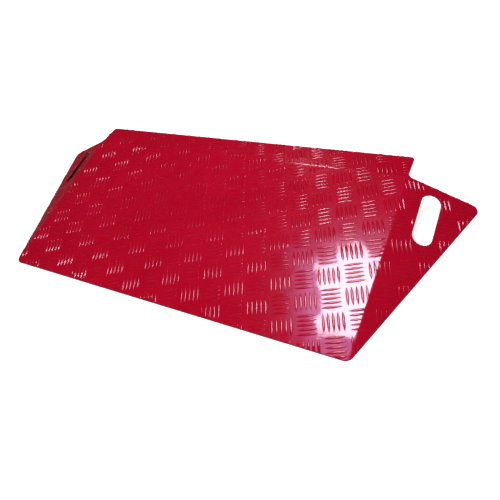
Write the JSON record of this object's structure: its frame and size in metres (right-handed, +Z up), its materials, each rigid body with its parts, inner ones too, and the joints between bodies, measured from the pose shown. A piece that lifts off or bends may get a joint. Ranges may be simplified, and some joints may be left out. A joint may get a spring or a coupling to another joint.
{
  "type": "threshold ramp",
  "caption": "Portable threshold ramp: a folded tread-plate sheet with a sloping deck, a level lip and side wings with hand slots, on ribs and rubber pads.",
  "frame": {"origin": "on the floor under the middle of the ramp's outline", "axes": "+X across the ramp to its right as one goes up it, +Y from the toe towards the threshold, +Z up"},
  "size_m": [0.9976, 0.415, 0.06],
  "materials": {
    "plate": "gloss",
    "ribs": "gloss",
    "rubber": "matte"
  },
  "bodies": {
    "root": {"centre_rib": "ribs", "centre_rib_foot": "rubber", "left_rib": "ribs", "left_rib_foot": "rubber", "left_wing_pad": "rubber", "lip_pad": "rubber", "ramp_plate": "plate", "rib_weld_beads": "ribs", "right_rib": "ribs", "right_rib_foot": "rubber", "right_wing_pad": "rubber", "toe_pad": "rubber"}
  },
  "joints": []
}
